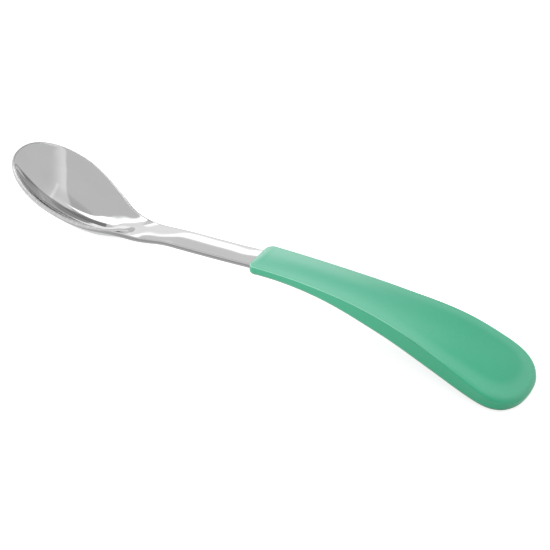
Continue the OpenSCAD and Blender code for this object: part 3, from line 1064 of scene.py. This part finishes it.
gap = ((1 - above(*GAP_RIGHT)) * below_strip * above(*GAP_LEFT) * dome_z.smooth(0.08, 0.11))
rail_height = dome_z.smooth(0.21, 0.26)
rail = dome_x.smooth(0.0, 0.015) * dome_x.smooth(0.16, 0.145) * rail_height
rail_rim = abs(abs(dome_x - 0.08) - 0.075).smooth(0.012, 0) * rail_height
light = lay(light, GAP + RAIL * rail + RAIL_RIM * rail_rim, gap)

strip = ((1 - below_strip) * (1 - above(*STRIP_TOP)) * (1 - above(*STRIP_SHOULDER))
         * dome_y.smooth(-0.17, 0.14))
light = lay(light, STRIP, strip)
window = (above_window_base * (1 - above(*WINDOW_TOP))
          * (dome_x + 0.36 * dome_y).smooth(0, -0.02)
          * (dome_x + 1.04 * dome_y).smooth(-0.1, 0.04))
light = lay(light, WINDOW, window)
light = lay(light, 1, Wire.node(tree, "ShaderNodeLightPath", output="Is Camera Ray"))
background = tree.nodes["Background"]
background.inputs["Color"].default_value = (1, 1, 1, 1)
connect(light, background, "Strength")
print("Tent:", len(tree.nodes), "nodes")

# %% [markdown]
# ## The table, the lamp and the camera
#
# The table is white paper. White paper alone would come out grey, because the spoon has to be lit
# gently. So to the camera, and in the steel, part of its white is its own light, and the spoon's
# shadow still falls softly on the rest.

# %% The table
TABLE_SIZE, PAPER = 6, (0.5, 0.5, 0.5, 1)
SEEN_WHITE, MIRRORED_WHITE = 0.76, 0.66
bpy.ops.object.select_all(action="DESELECT")
bpy.ops.mesh.primitive_plane_add(size=TABLE_SIZE)
floor = bpy.context.object
floor.name = "table"
tree, paper = finish_for(floor)
paper.inputs["Base Color"].default_value = PAPER
paper.inputs["Roughness"].default_value = 0.9
paper.inputs["Specular IOR Level"].default_value = 0.0
rays = [Wire.node(tree, "ShaderNodeLightPath", output=name)
        for name in ("Is Camera Ray", "Is Glossy Ray", "Is Transmission Ray")]
own = rays[0] * SEEN_WHITE + (rays[1] + rays[2]).math("MINIMUM", 1.0) * MIRRORED_WHITE
white = Wire.node(tree, "ShaderNodeEmission", {}, {"Strength": own})
both = Wire.node(tree, "ShaderNodeAddShader", {}, {0: Wire(paper.outputs[0]), 1: white})
connect(both, tree.nodes["Material Output"], "Surface")
print("Table:", TABLE_SIZE, "m wide,", len(tree.nodes), "nodes")

# %% [markdown]
# The grip's lit shading comes from one large soft lamp, low in front and a little to the left, on
# top of the shade painted into its colour. A small lamp would give hard shadows. It lights the
# grip but doesn't show in the steel, where the tent already gives every reflection.

# %% The lamp
LAMP_DISTANCE, LAMP_SIZE, LAMP_WATTS = 1.2, 0.9, 3.9
LAMP_PLACE = toward(-20, 20) * LAMP_DISTANCE
bpy.ops.object.light_add(type="AREA", location=LAMP_PLACE)
lamp = bpy.context.object
lamp.data.size = LAMP_SIZE
lamp.data.energy = LAMP_WATTS
lamp.rotation_euler = (-LAMP_PLACE).to_track_quat("-Z", "Y").to_euler()
lamp.visible_glossy = False
print("Lamp:", LAMP_WATTS, "W at", [round(v, 2) for v in LAMP_PLACE])

# %% [markdown]
# The camera stands where the photograph was taken from: its angles, distance and focal length
# were fitted to the spoon's outline. It is held slightly turned, as a camera in the hand is.

# %% The camera
AZIMUTH, ELEVATION, ROLL = 27.13, 36.16, math.radians(5)
DISTANCE, AIM = 0.7276, Vector((0.00196, 0.0014, 0.006))
FOCAL_PIXELS, PHOTO_PIXELS = 2915.5, 550
toward_camera = toward(AZIMUTH, ELEVATION)
bpy.ops.object.camera_add(location=AIM + toward_camera * DISTANCE)
camera = bpy.context.object
camera.rotation_mode = "QUATERNION"
camera.rotation_quaternion = ((-toward_camera).to_track_quat("-Z", "Y")
                              @ Quaternion((0, 0, 1), ROLL))
camera.data.lens = FOCAL_PIXELS * camera.data.sensor_width / PHOTO_PIXELS
camera.data.clip_start, camera.data.clip_end = 0.05, 20
scene.camera = camera
scene.view_settings.view_transform = "Standard"
print("Camera lens:", round(camera.data.lens), "mm")
